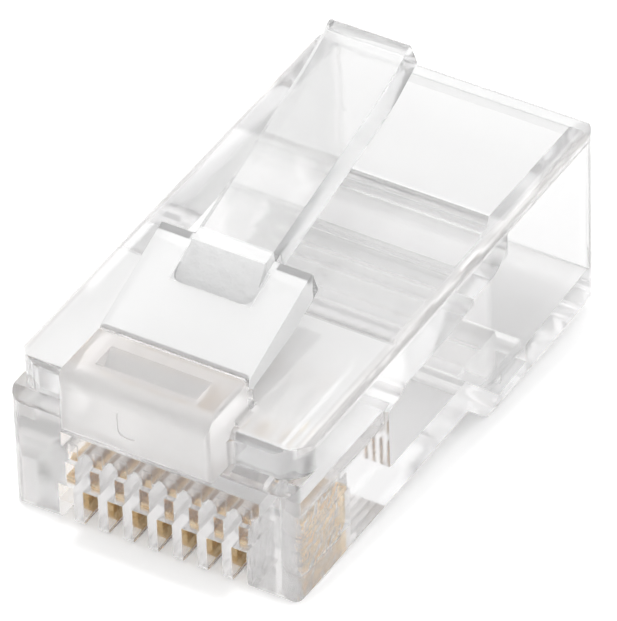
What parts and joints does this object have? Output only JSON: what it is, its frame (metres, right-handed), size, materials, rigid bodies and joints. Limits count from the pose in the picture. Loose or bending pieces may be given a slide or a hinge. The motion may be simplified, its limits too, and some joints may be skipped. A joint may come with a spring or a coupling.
{
  "type": "rj45 modular plug",
  "caption": "Clear modular plug for network cable: hollow housing with a stepped underside, sprung latch on top and a row of gold-plated contact blades in slots at the nose.",
  "frame": {"origin": "bottom centre of the whole plug's bounding box, on the level keel line of the underside", "axes": "+X across the plug's width, to the right seen from the nose end with the latch up; +Y along the plug from the slotted nose to the cable entry; +Z from the contact side to the latch side"},
  "size_m": [0.0116, 0.0226, 0.014],
  "materials": {
    "clear_plastic": "clear polycarbonate, polished, with frosted patches at the latch root",
    "gold_plate": "gold plate on phosphor bronze"
  },
  "bodies": {
    "plug": {"housing": "clear_plastic", "contact_1": "gold_plate", "contact_2": "gold_plate", "contact_3": "gold_plate", "contact_4": "gold_plate", "contact_5": "gold_plate", "contact_6": "gold_plate", "contact_7": "gold_plate", "contact_8": "gold_plate"},
    "latch": {"latch": "clear_plastic"}
  },
  "joints": [
    {"name": "latch_flex", "type": "hinge", "parent": "plug", "child": "latch", "pos_m": [0, -0.00825, 0.00905], "axis": [1, 0, 0], "range_deg": [-18, 0], "stiffness_Nm_per_rad": 0.05}
  ]
}
